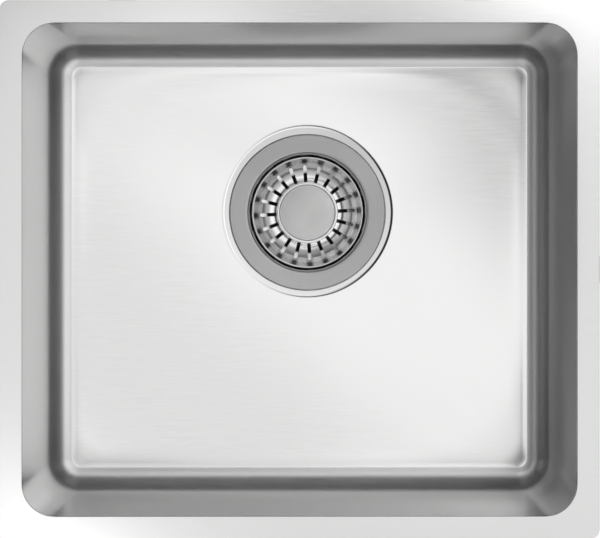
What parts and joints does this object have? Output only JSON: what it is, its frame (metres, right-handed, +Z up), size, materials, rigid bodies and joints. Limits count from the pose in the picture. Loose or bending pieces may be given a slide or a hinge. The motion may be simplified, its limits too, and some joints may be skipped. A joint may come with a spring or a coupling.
{
  "type": "undermount kitchen sink",
  "caption": "Single-bowl undermount kitchen sink in brushed stainless steel with a lift-out slotted basket waste, clips and damping pads.",
  "frame": {"origin": "middle of the bowl's opening on the flange's top face, which lies against the underside of the worktop", "axes": "+Z up out of the bowl, +X to the right along the longer side, +Y to the rear, where the outlet lies"},
  "size_m": [0.43, 0.39, 0.2701],
  "materials": {
    "bowl_steel": "brushed",
    "waste_steel": "turned, circular brushed",
    "basket_steel": "polished",
    "cap_steel": "spun",
    "clip_steel": "zinc plated",
    "nut_brass": "machined",
    "housing_plastic": "moulded polypropylene",
    "carrier_plastic": "moulded",
    "damping_rubber": "matt, pressed texture",
    "gasket_rubber": "matt",
    "stopper_rubber": "satin"
  },
  "bodies": {
    "sink": {"bowl": "bowl_steel", "floor_damping_pad": "damping_rubber", "front_damping_pad": "damping_rubber", "rear_damping_pad": "damping_rubber", "left_damping_pad": "damping_rubber", "right_damping_pad": "damping_rubber", "flange_seal": "gasket_rubber", "under_gasket": "gasket_rubber", "waste_cup": "waste_steel", "waste_housing": "housing_plastic", "outlet_spigot": "housing_plastic", "clamp_bridge": "housing_plastic", "clamp_nut": "nut_brass", "clamp_screw": "waste_steel", "clip_screws": "clip_steel", "clip_right": "clip_steel", "clip_rear_right": "clip_steel", "clip_rear_left": "clip_steel", "clip_left": "clip_steel", "clip_front_left": "clip_steel", "clip_front_right": "clip_steel"},
    "stopper": {"centre_cap": "cap_steel", "stem": "basket_steel", "seal_carrier": "carrier_plastic", "stopper_seal": "stopper_rubber", "seal_retainer": "basket_steel", "collet": "carrier_plastic"},
    "basket": {"basket_shell": "basket_steel"}
  },
  "joints": [
    {"name": "basket_lift", "type": "slide", "parent": "sink", "child": "stopper", "axis": [0, 0, 1], "range_m": [0, 0.06]},
    {"name": "basket_turn", "type": "hinge", "parent": "stopper", "child": "basket", "pos_m": [0.006, 0.04, -0.2], "axis": [0, 0, 1], "continuous": true}
  ]
}
